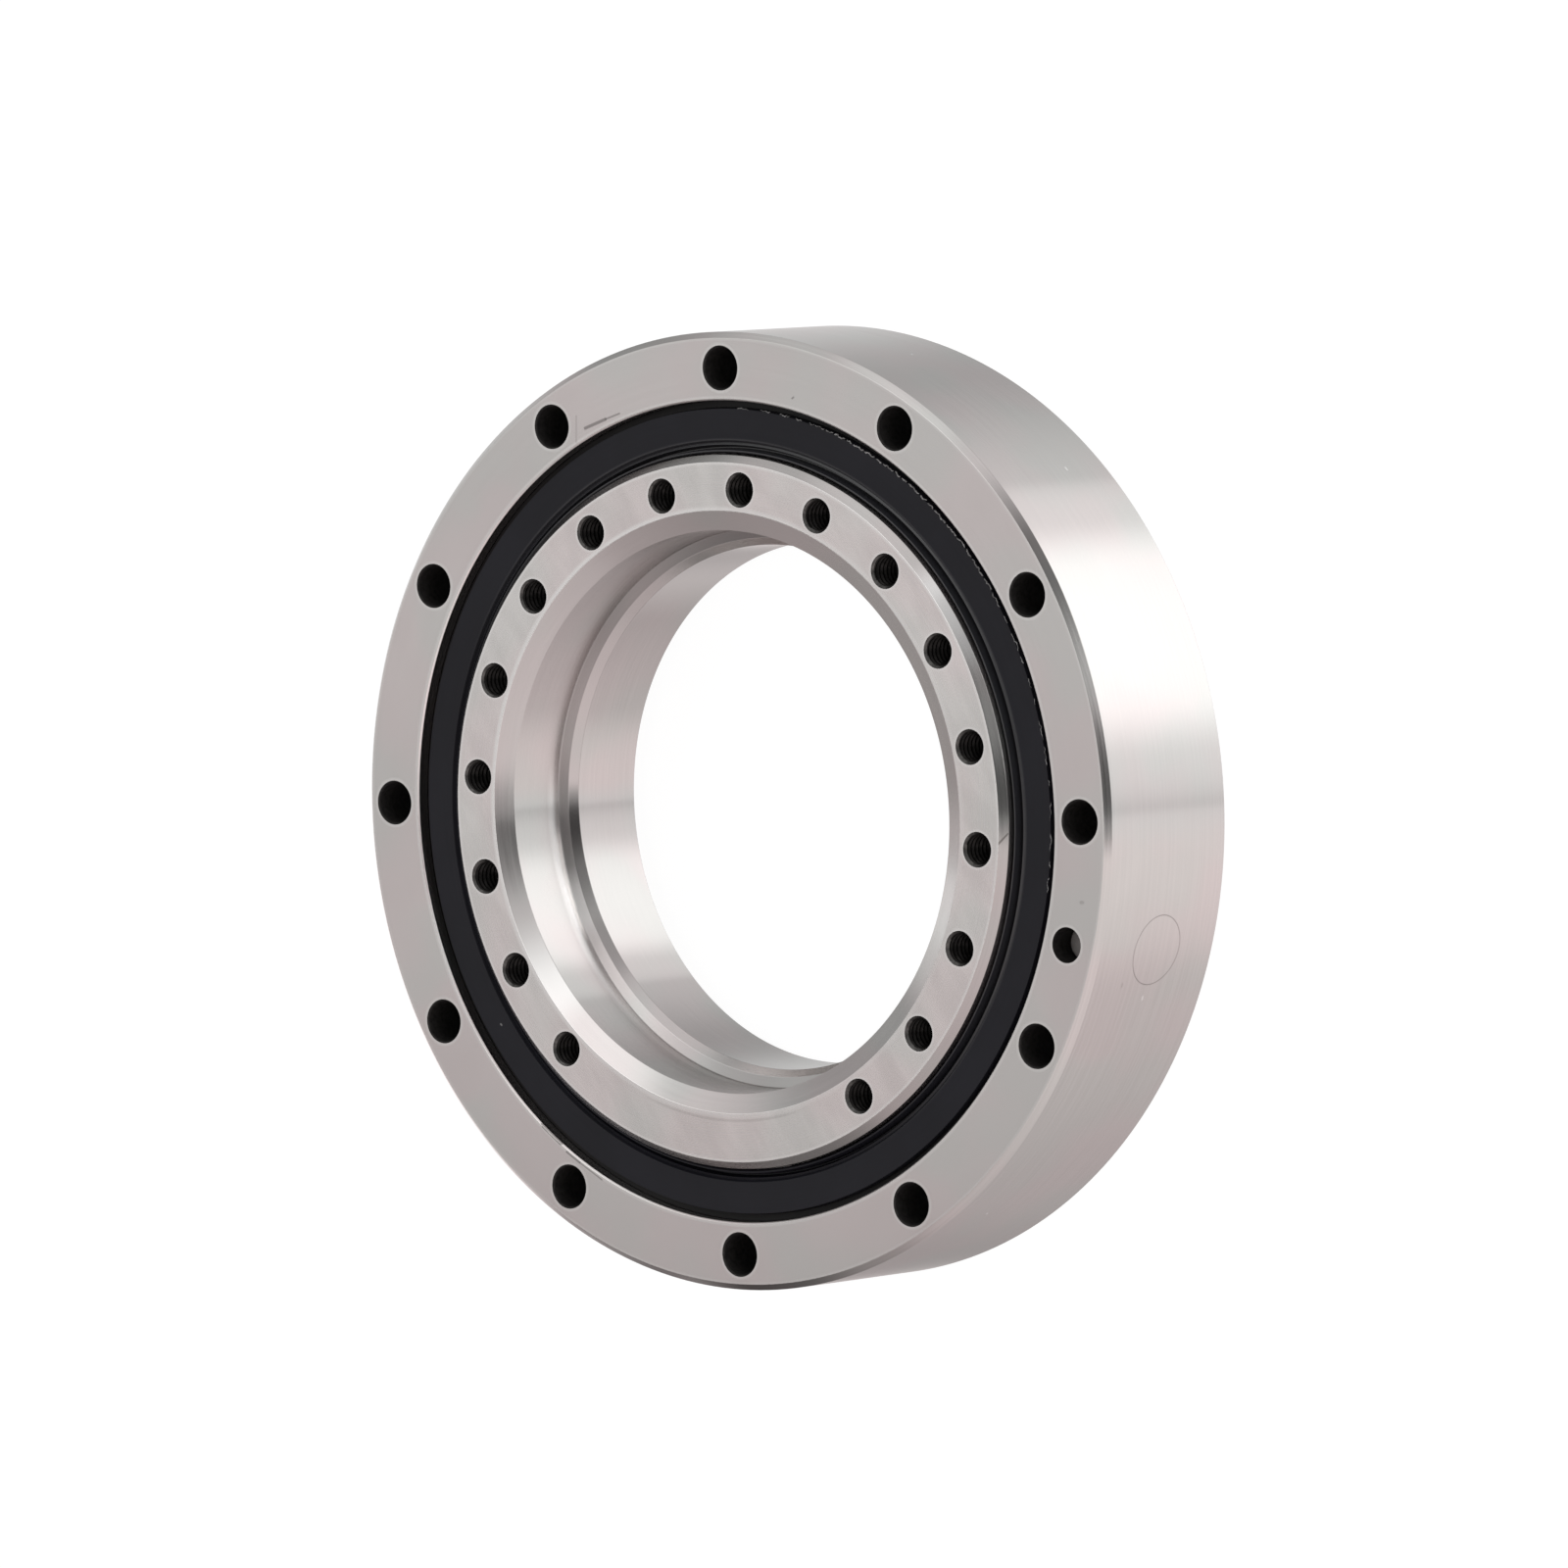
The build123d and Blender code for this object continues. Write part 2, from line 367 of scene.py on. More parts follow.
steel = {
    "tints": [(0.688, 0.637, 0.628), (0.644, 0.632, 0.615)],  # the two shades of its patches
    "patchSize": 9,
    # how much lighter or darker than those shades each surface is; these lighter and darker copies are
    # painted light and shade
    "outerFace": 1.03,
    "innerFace": 1.2,
    "innerChamfer": 0.85,
    "bore": 0.88,
    "shoulder": 0.76,
    "paintedHighlightEdge": 1.3,
    # colours
    # burnished colours, which also paint the edges' highlights
    "burnishedAndLit": (0.84, 0.83, 0.81),
    "innerBurnishedAndLit": (0.95, 0.935, 0.92),
    # a painted shade line
    "shadeLine": (0.3, 0.28, 0.27),
    "seam": (0.36, 0.33, 0.32),
    # painted light, for the paler stretches
    "paintedPale": (0.97, 0.95, 0.94),
    # dark scale, darkened further as painted shade in the holes
    "holeScaleAndShade": (0.022, 0.02, 0.019),
    "threadScaleAndShade": (0.024, 0.022, 0.021),
    "tapMouth": (0.13, 0.125, 0.12),
    "pin": (0.42, 0.395, 0.38),
    "pinMetallic": 0.25,
    # directions of the grinding strokes, and of the side where the painted highlight on the inner face's edge
    # is brightest
    "outerGrind": 35,
    "innerGrind": -60,
    "highlightSide": 60,
}

# painted light and shade in place of reflections: lighter or darker stretches round the axis, with middle and
# half width in degrees, fade in degrees, and the share of the darker tone, or 1 plus the share of painted
# pale steel
paintedLightAndShade = {
    "outerChamfer": [
        (-61, 2, 13, 0.46), (6, 6, 14, 0.85), (156, 6, 9, 0.52), (-178, 4, 11, 0.48), (-48, 3, 6, 0.87),
        (60, 4, 7, 1.3),
    ],
    "innerChamfer": [
        (-60, 5, 7, 2), (-74, 4, 12, 0.57), (6, 8, 10, 0.72), (46, 9, 22, 0.3), (143, 8, 10, 2),
        (-162, 8, 8, 0.78), (-118, 28, 8, 0.9),
    ],
    "cone": [(121, 5, 9, 1.3), (54, 20, 14, 1.2), (-110, 4, 8, 1.25)],
    "step": [(97, 4, 12, 0.5)],
    "shoulder": [
        (20, 20, 25, 0.8), (62, 12, 20, 0.85), (90, 8, 9, 0.85), (160, 10, 15, 0.8), (108, 3, 6, 1.4),
    ],
    "bore": [(109, 22, 12, 2), (150, 13, 10, 1.5)],
    "lowerBore": [(14, 8, 22, 2)],
}

# burnished rings, painted lighter than wear alone as the edges' highlights: the distances from the bearing's
# axis, or a hole's, where each is full and where it ends
polishAndHighlight = {
    "bolt": (1.95, 2.22),
    "pin": (1.55, 1.8),
    "tap": (1.5, 1.78),
    "outerFaceBore": (34.55, 34.75),
    "outerFaceRim": (39.42, 39.2),
    "innerFaceCone": (25.3, 25.65),
    "innerFaceRim": (29.1, 28.9),
}

darkTone = (0.12, 0.11, 0.105)
lightTone = (0.95, 0.94, 0.93)

# scratches and specks: where each starts and ends, its width, strength and tone
wear = {
    "outerFace": [
        ((32.839, 12.691, 16), (33.45, 10.4, 16), 0.2, 0.6, darkTone),
        ((33.45, 10.4, 16), (33.83, 8.822, 16), 0.12, 0.5, darkTone),
        ((33.883, 13.563, 16), (31.74, 13.77, 16), 0.16, 0.16, darkTone),
        (onTurned(34.45, 138, 16), onTurned(34.47, 142, 16), 0.12, 0.6, darkTone),
        (onTurned(34.6, 143.5, 16), onTurned(34.6, 146.2, 16), 0.13, 0.6, darkTone),
        (onTurned(34.6, 146.2, 16), onTurned(34.67, 150.8, 16), 0.1, 0.5, darkTone),
        ((33.9, -9.95, 16), (33.98, -10.1, 16), 0.12, 0.5, darkTone),
        ((-9.0, -36.45, 16), (-9.02, -36.65, 16), 0.22, 0.22, darkTone),
    ],
    "outerRim": [(onTurned(34.36, 137.6, 15.94), onTurned(34.36, 142.2, 15.94), 0.12, 0.6, darkTone)],
    "outside": [
        (onTurned(40, -48.5, 5.6), onTurned(40, -48.8, 5.6), 0.16, 0.8, lightTone),
        (onTurned(40, -115.6, 8.3), onTurned(40, -115.9, 8.25), 0.18, 0.5, lightTone),
        (onTurned(40, -149.5, 11.0), onTurned(40, -149.6, 11.0), 0.14, 0.8, lightTone),
        (onTurned(40, -22.7, 6.7), onTurned(40, -22.9, 6.7), 0.14, 0.8, lightTone),
        (onTurned(40, -113.6, 11.6), onTurned(40, -113.9, 11.6), 0.18, 0.2, (0.2, 0.18, 0.175)),
    ],
    "innerEdge": [((-3.84, -28.95, 16.8), (-3.07, -29.62, 16.3), 0.12, 0.7, (0.12, 0.11, 0.1))],
    "seal": [((-16.82, 27.284, 15.5), (-16.9, 27.2, 15.5), 0.12, 0.6, (0.3, 0.3, 0.3))],
}


def shades(share=1.0):
    return [tuple(min(c * share, 0.95) for c in shade) for shade in steel["tints"]]


def makeSteel(
    name, tints, roughness, metallic=1.0, anisotropic=0.0,
    grooveSize=(14.0, 0.22), depth=0.0003, streaks=0.03, extra=None,
):
    # extra adds marks to the shade and strokes to the height
    made, tree, shader = newMaterial(name)
    where = turnedCoordinates(tree)
    patch = noise(tree, where["place"], 1000 / steel["patchSize"], 1.5, 0.45)
    shade = mixColour(tree, fade(tree, patch, 0.38, 0.62), colour(tints[0]), colour(tints[1]))
    cloud = fade(tree, noise(tree, where["place"], 55, 3, 0.6), 0.3, 0.7, -0.03, 0.03)
    lines = grooves(tree, where, *grooveSize, 2.0)
    light = calc(tree, "ADD", cloud, fade(tree, lines, 0.25, 0.75, 1 - streaks, 1 + streaks))
    shade = mixColour(tree, 1.0, shade, grey(tree, light), "MULTIPLY")
    height = lines
    if extra:
        shade, height = extra(tree, where, shade, height)
    tree.links.new(shade, shader.inputs["Base Color"])
    shader.inputs["Metallic"].default_value = metallic
    rough = fade(tree, lines, 0.2, 0.8, roughness - 0.02, roughness + 0.02)
    tree.links.new(rough, shader.inputs["Roughness"])
    if anisotropic:
        # the quarter turn draws highlights out across the grooves
        shader.inputs["Anisotropic"].default_value = anisotropic
        shader.inputs["Anisotropic Rotation"].default_value = 0.25
        inWorld = addNode(
            tree,
            "ShaderNodeVectorTransform",
            {0: vectorCalc(tree, "CROSS_PRODUCT", (0, 0, 1), where["place"])},
            vector_type="VECTOR",
            convert_from="OBJECT",
            convert_to="WORLD",
        )
        tree.links.new(vectorCalc(tree, "NORMALIZE", inWorld.outputs[0]), shader.inputs["Tangent"])
    addBump(tree, shader, height, depth)
    return made


def strokeCoordinates(tree, where, angle, across, along):
    # a texture mapping turns first and then divides by the size, so the strokes turn with it
    return addNode(
        tree,
        "ShaderNodeMapping",
        {
            "Vector": where["place"],
            "Rotation": (0, 0, math.radians(angle)),
            "Scale": (across * mm, along * mm, along * mm),
        },
        vector_type="TEXTURE",
    ).outputs[0]


def softStrokes(tree, where, angle):
    # soft bands that the grinding wheel leaves in the tone of a face, sizes in millimetres
    total = None
    for across, along, share in ((2.2, 5, 0.05), (0.6, 4, 0.015)):
        turned = strokeCoordinates(tree, where, angle, across, along)
        band = fade(tree, noise(tree, turned, 1.0, 1.5, 0.5), 0.3, 0.7, 1 - share, 1 + share * 0.8)
        total = calc(tree, "MULTIPLY", total, band) if total else band
    return grey(tree, total)


def crossGrind(tree, where, height, angle):
    # straight strokes of the grinding wheel over the turned lines
    strokes = noise(tree, strokeCoordinates(tree, where, angle, 0.3, 4), 1.0, 3.0, 0.6)
    return calc(tree, "ADD", calc(tree, "MULTIPLY", height, 0.2), strokes)


def addPaintedLightAndShade(tree, where, shade, name, within=None):
    # paints light and shade as lighter or darker stretches round the axis
    for middle, half, edge, share in paintedLightAndShade[name]:
        away = calc(tree, "ARCCOSINE", towards(tree, where, middle))
        amount = fade(tree, away, math.radians(half + edge), math.radians(half))
        if within:
            amount = calc(tree, "MULTIPLY", amount, within)
        if share > 1:
            amount = calc(tree, "MULTIPLY", amount, share - 1)
            shade = mixColour(tree, amount, shade, colour(steel["paintedPale"]))
        else:
            shade = mixColour(tree, amount, shade, colour((share,) * 3), "MULTIPLY")
    return shade


def burnishAndHighlight(tree, away, name, strength=1.0):
    full, gone = polishAndHighlight[name]
    return fade(tree, away, gone * mm, full * mm, 0.0, strength)


def outerFaceMarks(tree, where, shade, height):
    # burnished rings round the holes and along both rims, which also paint the edges' highlights, and the
    # marks of use
    bolts = fromHoles(tree, where, layout["boltCircle"], layout["bolts"], layout["boltTurn"])
    pinMouth = Vector(onTurned(layout["pinCircle"], layout["plugAngle"], layout["outerFace"])) * mm
    ring = strongest(
        tree,
        burnishAndHighlight(tree, bolts, "bolt"),
        burnishAndHighlight(tree, where["radius"], "outerFaceBore"),
        burnishAndHighlight(tree, where["radius"], "outerFaceRim", 0.6),
        burnishAndHighlight(tree, vectorCalc(tree, "DISTANCE", where["place"], pinMouth), "pin"),
    )
    shade = mixColour(tree, calc(tree, "MULTIPLY", ring, 0.55), shade, colour(steel["burnishedAndLit"]))
    shade = addMarks(tree, where, shade, wear["outerFace"])
    return shade, crossGrind(tree, where, height, steel["outerGrind"])


def outsideMarks(tree, where, shade, height):
    shade = addMarks(tree, where, shade, wear["outside"])
    # the seam round the loading plug
    plugAxis = onTurned(1, layout["plugAngle"], 0)
    offset = vectorCalc(tree, "SUBTRACT", where["place"], (0, 0, layout["middle"] * mm))
    away = vectorCalc(tree, "LENGTH", vectorCalc(tree, "CROSS_PRODUCT", offset, plugAxis))
    nearSide = calc(tree, "GREATER_THAN", vectorCalc(tree, "DOT_PRODUCT", where["place"], plugAxis), 0.0)
    fromSeam = calc(tree, "ABSOLUTE", calc(tree, "SUBTRACT", away, 2.99 * mm))
    seam = calc(tree, "MULTIPLY", fade(tree, fromSeam, 0.1 * mm, 0.03 * mm), nearSide)
    return mixColour(tree, calc(tree, "MULTIPLY", seam, 0.35), shade, colour(steel["seam"])), height


def outerRimMarks(tree, where, shade, height):
    return addMarks(tree, where, shade, wear["outerRim"]), height


def outerChamferMarks(tree, where, shade, height):
    # painted light and shade on the front chamfer
    front = fade(tree, where["z"], 12 * mm, 14 * mm)
    return addPaintedLightAndShade(tree, where, shade, "outerChamfer", front), height


def innerFaceMarks(tree, where, shade, height):
    # burnished rings round the tapped holes, which also paint the edges' highlights, but not where there are
    # none
    taps = fromHoles(tree, where, layout["tapCircle"], layout["tapPlaces"], layout["tapTurn"])
    bareHalf = math.radians(1.5 * 360 / layout["tapPlaces"])
    holed = calc(tree, "LESS_THAN", towards(tree, where, layout["tapTurn"] + 180), math.cos(bareHalf))
    # the painted highlight on the edge at the cone is brightest on one side
    facing = calc(tree, "MULTIPLY_ADD", towards(tree, where, steel["highlightSide"]), 0.6, 0.9)
    ring = strongest(
        tree,
        calc(tree, "MULTIPLY", burnishAndHighlight(tree, taps, "tap"), holed),
        calc(tree, "MULTIPLY", burnishAndHighlight(tree, where["radius"], "innerFaceCone"), facing),
        burnishAndHighlight(tree, where["radius"], "innerFaceRim"),
    )
    shade = mixColour(tree, 1.0, shade, softStrokes(tree, where, steel["innerGrind"]), "MULTIPLY")
    shade = mixColour(tree, calc(tree, "MULTIPLY", ring, 0.65), shade, colour(steel["innerBurnishedAndLit"]))
    # a soft painted shade line along that edge at the lower end
    fromLine = calc(tree, "ABSOLUTE", calc(tree, "SUBTRACT", where["radius"], 25.72 * mm))
    lower = vectorCalc(tree, "DOT_PRODUCT", where["around"], (-0.995, 0.1, 0))
    line = calc(tree, "MULTIPLY", fade(tree, fromLine, 0.16 * mm, 0.05 * mm), fade(tree, lower, 0.93, 0.98))
    shade = mixColour(tree, calc(tree, "MULTIPLY", line, 0.22), shade, colour(steel["shadeLine"]))
    return shade, crossGrind(tree, where, height, steel["innerGrind"])


def innerChamferMarks(tree, where, shade, height):
    # painted light and shade on the chamfer round the face's outer edge
    outside = calc(tree, "GREATER_THAN", where["radius"], 28.9 * mm)
    shade = addPaintedLightAndShade(tree, where, shade, "innerChamfer", outside)
    # painted light and shade also on the cone that leads into the bore, and on the chamfer under the shoulder
    cone = calc(tree, "COMPARE", where["radius"], 24.5 * mm, 1.05 * mm)
    shade = addPaintedLightAndShade(tree, where, shade, "cone", cone)
    step = calc(tree, "COMPARE", where["z"], 9.8 * mm, 0.6 * mm)
    shade = addPaintedLightAndShade(tree, where, shade, "step", step)
    return addMarks(tree, where, shade, wear["innerEdge"]), height


def shoulderMarks(tree, where, shade, height):
    # painted light and shade round the shoulder
    return addPaintedLightAndShade(tree, where, shade, "shoulder"), height


def boreMarks(tree, where, shade, height):
    # painted light: the wall is painted paler close to the shoulder, and the lower bore paler on one side
    low = fade(tree, where["z"], 12.0 * mm, 10.9 * mm)
    above = calc(tree, "GREATER_THAN", where["z"], 10.2 * mm)
    shade = addPaintedLightAndShade(tree, where, shade, "bore", calc(tree, "MULTIPLY", low, above))
    below = calc(tree, "LESS_THAN", where["z"], 9.6 * mm)
    return addPaintedLightAndShade(tree, where, shade, "lowerBore", below), height


def makeHoleScaleAndShade(name, shade, metallic=0.0, roughness=0.65):
    # blue-black scale left inside the holes when the ring was hardened, made darker still as painted shade in
    # the deep holes
    made, tree, shader = newMaterial(name)
    flakes = noise(tree, objectPlace(tree), 2200, 3, 0.6)
    darker = tuple(c * 0.5 for c in shade)
    mixed = mixColour(tree, fade(tree, flakes, 0.35, 0.7), colour(shade), colour(darker))
    tree.links.new(mixed, shader.inputs["Base Color"])
    shader.inputs["Metallic"].default_value = metallic
    shader.inputs["Specular IOR Level"].default_value = 0.25
    rough = fade(tree, flakes, 0.2, 0.8, roughness - 0.1, roughness + 0.1)
    tree.links.new(rough, shader.inputs["Roughness"])
    addBump(tree, shader, flakes, 0.004)
    return made


groundFace = makeSteel(
    "groundFaceSteel", shades(steel["outerFace"]), 0.25, depth=0.0002, streaks=0.008, extra=outerFaceMarks
)
turnedSteel = makeSteel("turnedSteel", shades(), 0.18, anisotropic=0.97, extra=outsideMarks)
chamferSteel = makeSteel(
    "chamferSteel", shades(), 0.16, anisotropic=0.92, depth=0.0001, extra=outerChamferMarks
)
# a painted highlight: the seat's front edge is painted lighter than the steel
paintedHighlightEdge = makeSteel(
    "paintedHighlightEdgeSteel", shades(steel["paintedHighlightEdge"]), 0.35, depth=0.0002, extra=outerRimMarks
)
# painted light and shade: the inner face lighter, its chamfers, bore and shoulder darker than the steel
innerFace = makeSteel(
    "innerFaceSteel", shades(steel["innerFace"]), 0.27, depth=0.00002, streaks=0.004, extra=innerFaceMarks
)
innerChamfer = makeSteel(
    "innerChamferSteel", shades(steel["innerChamfer"]), 0.17,
    anisotropic=0.92, depth=0.0001, extra=innerChamferMarks,
)
boreSteel = makeSteel("boreSteel", shades(steel["bore"]), 0.18, anisotropic=0.97, extra=boreMarks)
shoulderSteel = makeSteel(
    "shoulderSteel", shades(steel["shoulder"]), 0.22, anisotropic=0.9, depth=0.0001, extra=shoulderMarks
)
pinTints = [steel["pin"], tuple(c * 0.9 for c in steel["pin"])]
pinSteel = makeSteel("pinSteel", pinTints, 0.5, metallic=steel["pinMetallic"], grooveSize=(3, 0.12))
rollerSteel = makeSteel(
    "rollerSteel", [(0.74, 0.74, 0.75), (0.71, 0.71, 0.72)], 0.14, depth=0.0002, streaks=0.02
)
# dark scale, darkened further as painted shade; the tapped holes' mouths are painted dark as shade too
holeScaleAndShade = makeHoleScaleAndShade("holeScaleAndShade", steel["holeScaleAndShade"])
threadScaleAndShade = makeHoleScaleAndShade("threadScaleAndShade", steel["threadScaleAndShade"], metallic=0.7, roughness=0.35)
tapMouth = makeHoleScaleAndShade("tapMouthPaintedShade", steel["tapMouth"], metallic=1.0, roughness=0.35)
print("steel ready")


# the rollers' channel, which both rings share

channel = {
    "circle": 31.2,  # of the rollers' centres
    "reach": 2.913,  # from that circle to the corners of the channel
    "halfGap": 0.5,  # from that circle to either ring
    "relief": 0.4,  # half the width of the relief cut at the bottom
    "reliefDepth": 0.15,
}


def channelOutline(way):
    # one ring's half of the channel, from the top down: way is 1 for the outer ring and -1 for the inner ring
    middle, half = layout["middle"], channel["relief"]
    mouth = channel["reach"] - channel["halfGap"]
    land = channel["circle"] + way * channel["halfGap"]
    slopeEnd = channel["circle"] + way * (channel["reach"] - half)
    bottom = channel["circle"] + way * (channel["reach"] + channel["reliefDepth"])
    return [
        (land, middle + mouth),
        (slopeEnd, middle + half),
        (bottom, middle + half),
        (bottom, middle - half),
        (slopeEnd, middle - half),
        (land, middle - mouth),
    ]


# outer ring, with its plug and pin

outerRingSize = {
    "outside": 40,
    "chamfer": 0.5,
    "plugBand": 3.4,  # the outside's faces are split this far above and below the middle, clear of the plug
    "seat": 34.3,
    "frontEdge": 0.12,
    "backEdge": 0.3,
    "steps": 256,
    "softEdge": 0.03,
    "bolt": 1.75,
    "boltEdge": 0.13,
    "plugHole": 3.0,
    "plug": 2.98,
    "pinMouth": 1.48,
    "pinTaper": 0.01,  # radius lost for each millimetre of depth
    "pinHoleDepth": 12.8,
    "pinClearance": 0.02,
    "pinBelowFace": 2.2,
    "pinLength": 10,
    "pinChamfer": 0.2,
    "pinSoftEdge": 0.02,
}


def outerOutline(size):
    top, middle = layout["outerFace"], layout["middle"]
    outside, chamfer, seat = size["outside"], size["chamfer"], size["seat"]
    groove = channelOutline(1)
    land = groove[0][0]
    return [
        (seat + size["backEdge"], 0),
        (outside - chamfer, 0),
        (outside, chamfer),
        (outside, middle - size["plugBand"]),
        (outside, middle + size["plugBand"]),
        (outside, top - chamfer),
        (outside - chamfer, top),
        (seat + size["frontEdge"], top),
        (seat, top - size["frontEdge"]),
        (seat, layout["frontSeat"]),
        (land, layout["frontSeat"]),
        *groove,
        (land, layout["backSeat"]),
        (seat, layout["backSeat"]),
        (seat, size["backEdge"]),
    ]


def boltOutline(size):
    # a drill that ends 1 mm past both faces, with a 45 degree edge at each
    radius, edge, top = size["bolt"], size["boltEdge"], layout["outerFace"]
    wide = radius + edge + 1
    return [(0, -1), (wide, -1), (radius, edge), (radius, top - edge), (wide, top + 1), (0, top + 1)]


def pinHoleRadius(size, height):
    return size["pinMouth"] - (layout["outerFace"] - height) * size["pinTaper"]


def pinHoleOutline(size):
    past = layout["outerFace"] + 1
    bottom = layout["outerFace"] - size["pinHoleDepth"]
    walls = [(pinHoleRadius(size, z), z) for z in (bottom, layout["outerFace"], past)]
    return [(0, bottom), *walls, (0, past)]


def pinOutline(size):
    top = layout["outerFace"] - size["pinBelowFace"]
    bottom = top - size["pinLength"]
    chamfer = size["pinChamfer"]
    heights = (bottom, bottom + chamfer, top - chamfer, top)
    low, lowSide, highSide, high = [pinHoleRadius(size, z) - size["pinClearance"] for z in heights]
    radii = (low - chamfer, lowSide, highSide, high - chamfer)
    return [(0, bottom), *zip(radii, heights), (0, top)]


def radialCylinder(radius):
    # a round bar along the plug's axis, for the hole that the rollers go in by
    bar = turn("bar", [(0, 20), (radius, 20), (radius, 45), (0, 45)], 96)
    bar.data.transform(
        Matrix.Rotation(math.radians(layout["plugAngle"]), 4, "Z")
        @ Matrix.Translation((0, 0, layout["middle"] * mm))
        @ Matrix.Rotation(math.radians(90), 4, "Y")
    )
    return bar


def makeOuterRing(size):
    ring = turn("outerRing", outerOutline(size), size["steps"], size["softEdge"])
    plug = copyTo(ring, 0, 0)
    plug.name = plug.data.name = "loadingPlug"
    bolt = turn("boltTool", boltOutline(size), 64)
    step = 360 / layout["bolts"]
    angles = [layout["boltTurn"] - step * i for i in range(layout["bolts"])]
    bolts = [copyTo(bolt, layout["boltCircle"], angle) for angle in angles]
    bpy.data.objects.remove(bolt)
    cut(ring, joined(bolts, "bolts"))
    cut(ring, radialCylinder(size["plugHole"]))
    cut(plug, radialCylinder(size["plug"]), "INTERSECT")
    drill = turn("pinTool", pinHoleOutline(size), 64)
    pinHole = copyTo(drill, layout["pinCircle"], layout["plugAngle"])
    bpy.data.objects.remove(drill)
    cut(plug, pinHole, keepTool=True)
    cut(ring, pinHole)
    pin = turn("taperPin", pinOutline(size), 64, size["pinSoftEdge"])
    placed = copyTo(pin, layout["pinCircle"], layout["plugAngle"])
    bpy.data.objects.remove(pin)
    placed.name = placed.data.name = "taperPin"
    return ring, plug, placed


outerPaint = {
    "holes": (34.9, 39.1),  # the radii between which they stand
    "bolt": (1.87, 0.9),  # scale covers what is this close to a hole's axis and slopes less than this
    "pin": (1.6, 0.5),
    "pinTop": 15.99,
    "chamfer": 39.4,  # sloping faces outside this radius
    "paintedHighlightEdge": (34.2, 34.7),  # sloping faces between these radii
}


def outerRingPaint(face):
    paint = outerPaint
    spot, slope = face.center / mm, abs(face.normal.z)
    reach = math.hypot(spot.x, spot.y)
    if between(reach, paint["holes"]):
        away = awayFromHole(spot, layout["boltCircle"], layout["boltTurn"], layout["bolts"])
        if away < paint["bolt"][0] and slope < paint["bolt"][1]:
            return holeScaleAndShade
        away = awayFromHole(spot, layout["pinCircle"], layout["plugAngle"])
        if away < paint["pin"][0] and slope < paint["pin"][1] and spot.z < paint["pinTop"]:
            return holeScaleAndShade
    if slope > levelFace:
        return groundFace
    if slope > wallFace and reach > paint["chamfer"]:
        return chamferSteel
    return paintedHighlightEdge if slope > wallFace and between(reach, paint["paintedHighlightEdge"]) else turnedSteel


outerRing, loadingPlug, taperPin = makeOuterRing(outerRingSize)
for piece in (outerRing, loadingPlug):
    paintFaces(piece, [groundFace, turnedSteel, holeScaleAndShade, chamferSteel, paintedHighlightEdge], outerRingPaint)
    smoothTurned(piece)
paintFaces(taperPin, [pinSteel], lambda face: pinSteel)
pick(taperPin)
bpy.ops.object.shade_smooth_by_angle(angle=math.radians(25))
finishPiece(outerRing, "outer_ring", ["outer_ring"])
finishPiece(loadingPlug, "outer_ring", ["loading_plug"])
finishPiece(taperPin, "outer_ring", ["taper_pin"])


# inner ring

innerRingSize = {
    "wall": 29.8,  # that the seals' lips run on
    "wallDrop": 0.3,  # it goes this far past the seats
    "rimChamfer": 0.6,
    "back": 0.8,
    "bore": 23.5,
    "leadWidth": 1.65,
    "leadDepth": 0.65,
    "lowerBore": 22,
    "backChamfer": 1.4,
    "shoulder": 10.1,
    "shoulderChamfer": 0.6,
    # how the shoulder rises to the bore's wall: in from the wall, and up
    "corner": [(0.1, 0.26), (0.03, 0.3), (0, 0.37)],
    "steps": 256,
    "softEdge": 0.03,
    "tap": 1.25,
    "tapDepth": 6,
    "tapPoint": 0.7,
    "tapMouth": 0.23,
    "thread": {"crest": 1.235, "root": 1.42, "pitch": 0.5, "bottom": 11.7, "top": 16.62},
}


def innerOutline(size):
    top, back, wall, rim = layout["innerFace"], size["back"], size["wall"], size["rimChamfer"]
    bore, lower, shoulder = size["bore"], size["lowerBore"], size["shoulder"]
    groove = channelOutline(-1)
    land = groove[0][0]
    frontWall = layout["frontSeat"] - size["wallDrop"]
    backWall = layout["backSeat"] + size["wallDrop"]
    return [
        (bore + size["leadWidth"], top),
        (wall - rim, top),
        (wall, top - rim),
        (wall, frontWall),
        (land, frontWall),
        *groove,
        (land, backWall),
        (wall, backWall),
        (wall, back + rim),
        (wall - rim, back),
        (lower + size["backChamfer"], back),
        (lower, back + size["backChamfer"]),
        (lower, shoulder - size["shoulderChamfer"]),
        (lower + size["shoulderChamfer"], shoulder),
        *[(bore - inwards, shoulder + up) for inwards, up in size["corner"]],
        (bore, top - size["leadDepth"]),
    ]


def drillOutline(size):
    # a drill with its point, and a 45 degree mouth that runs on 0.4 mm past the face
    top, radius, mouth, past = layout["innerFace"], size["tap"], size["tapMouth"], 0.4
    bottom = top - size["tapDepth"]
    return [
        (0, bottom - size["tapPoint"]),
        (radius, bottom),
        (radius, top - mouth),
        (radius + mouth + past, top + past),
        (0, top + past),
    ]


